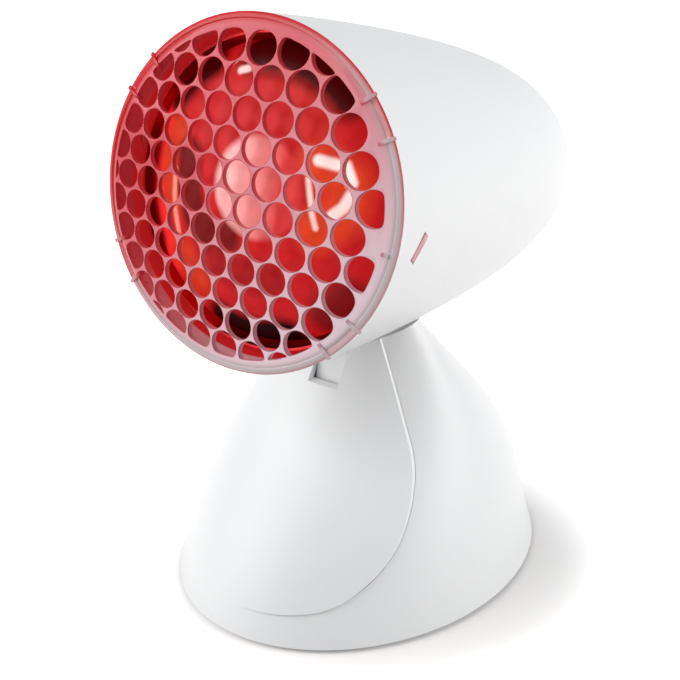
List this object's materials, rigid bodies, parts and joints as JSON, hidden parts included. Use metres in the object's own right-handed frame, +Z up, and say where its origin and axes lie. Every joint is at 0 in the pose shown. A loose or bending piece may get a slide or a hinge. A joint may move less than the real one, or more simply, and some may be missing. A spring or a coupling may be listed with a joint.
{
  "type": "infrared heat therapy lamp",
  "caption": "Table lamp for infrared heat treatment: a bell-shaped head with a clear domed honeycomb grille over a red reflector lamp tilts in an egg-shaped stand.",
  "frame": {"origin": "on the resting plane, under the middle of the stand's foot", "axes": "+Z up; +Y to the rear, so the lamp shines towards -Y; +X to the right as seen from the front"},
  "size_m": [0.1204, 0.1835, 0.2124],
  "materials": {
    "white_plastic": "gloss",
    "clear_plastic": "clear gloss",
    "red_glass": "clear red glass",
    "lamp_inside_glass": "clear",
    "shield_aluminium": "satin",
    "plate_steel": "zinc plated",
    "screw_steel": "zinc plated",
    "hinge_steel": "smooth",
    "ceramic": "glazed ceramic",
    "lamp_cap_metal": "bare",
    "cap_insulator": "dark vitreous",
    "contact_brass": "bare",
    "filament_wire": "bare wire",
    "lead_insulation": "silicone sleeve",
    "base_plastic": "moulded",
    "washer_plastic": "smooth",
    "wiring_plastic": "moulded",
    "foot_rubber": "matt",
    "gland_rubber": "matt",
    "switch_black": "satin"
  },
  "bodies": {
    "stand": {"base_plate": "base_plastic", "base_screws": "screw_steel", "block_screws": "screw_steel", "clamp_screws": "screw_steel", "column_screws": "screw_steel", "cord_clamp": "wiring_plastic", "cord_gland": "gland_rubber", "cover_screws": "screw_steel", "detent_screw": "screw_steel", "detent_spring": "hinge_steel", "flex_leads": "lead_insulation", "front_cover": "white_plastic", "hinge_column": "base_plastic", "hinge_pin": "hinge_steel", "pin_clip": "hinge_steel", "pivot_washers": "washer_plastic", "rubber_feet": "foot_rubber", "stand_leads": "lead_insulation", "stand_shell": "white_plastic", "switch_housing": "switch_black", "switch_leads": "lead_insulation", "switch_tabs": "contact_brass", "terminal_block": "wiring_plastic", "terminal_screws": "screw_steel"},
    "head": {"head_shell": "white_plastic", "grille": "clear_plastic", "heat_shield": "shield_aluminium", "shield_screws": "screw_steel", "lamp_glass": "red_glass", "lamp_cap": "lamp_cap_metal", "lamp_insulator": "cap_insulator", "lamp_contact": "contact_brass", "lamp_stem": "lamp_inside_glass", "lamp_filament": "filament_wire", "lamp_supports": "hinge_steel", "socket_plate": "plate_steel", "socket_screws": "screw_steel", "socket_body": "ceramic", "socket_sleeve": "contact_brass", "socket_spring": "contact_brass", "socket_terminals": "contact_brass", "head_leads": "lead_insulation"},
    "rocker": {"switch_rocker": "switch_black"}
  },
  "joints": [
    {"name": "head_tilt", "type": "hinge", "parent": "stand", "child": "head", "pos_m": [0, 0.002, 0.07], "axis": [-1, 0, 0], "range_deg": [-12, 12], "deforming": ["flex_leads", "detent_spring"]},
    {"name": "switch_rock", "type": "hinge", "parent": "stand", "child": "rocker", "pos_m": [0, 0.0588, 0.03392], "axis": [1, 0, 0], "range_deg": [0, 16]}
  ]
}
